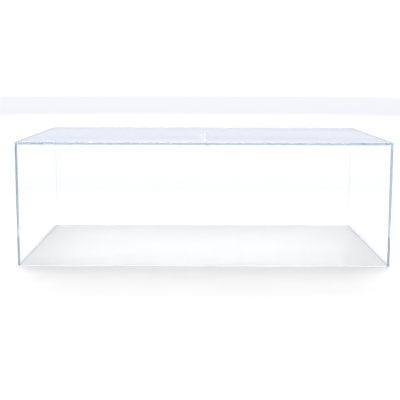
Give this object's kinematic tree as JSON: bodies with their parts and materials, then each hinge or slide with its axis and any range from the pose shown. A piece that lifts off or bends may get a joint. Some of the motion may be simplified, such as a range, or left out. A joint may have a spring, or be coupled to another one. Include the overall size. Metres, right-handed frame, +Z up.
{
  "type": "display case",
  "caption": "Clear rectangular cover for a scale model: flat acrylic sheets cemented edge to face, open underneath, with polished blue-tinted cut edges.",
  "frame": {"origin": "middle of the open underside, level with the rim that the case stands on", "axes": "+X along the length, to the right as seen from the front; -Y out of the front panel; +Z up"},
  "size_m": [0.33, 0.165, 0.11],
  "materials": {
    "clear_acrylic": "polished"
  },
  "bodies": {
    "root": {"top_panel": "clear_acrylic", "front_panel": "clear_acrylic", "back_panel": "clear_acrylic", "left_panel": "clear_acrylic", "right_panel": "clear_acrylic"}
  },
  "joints": []
}
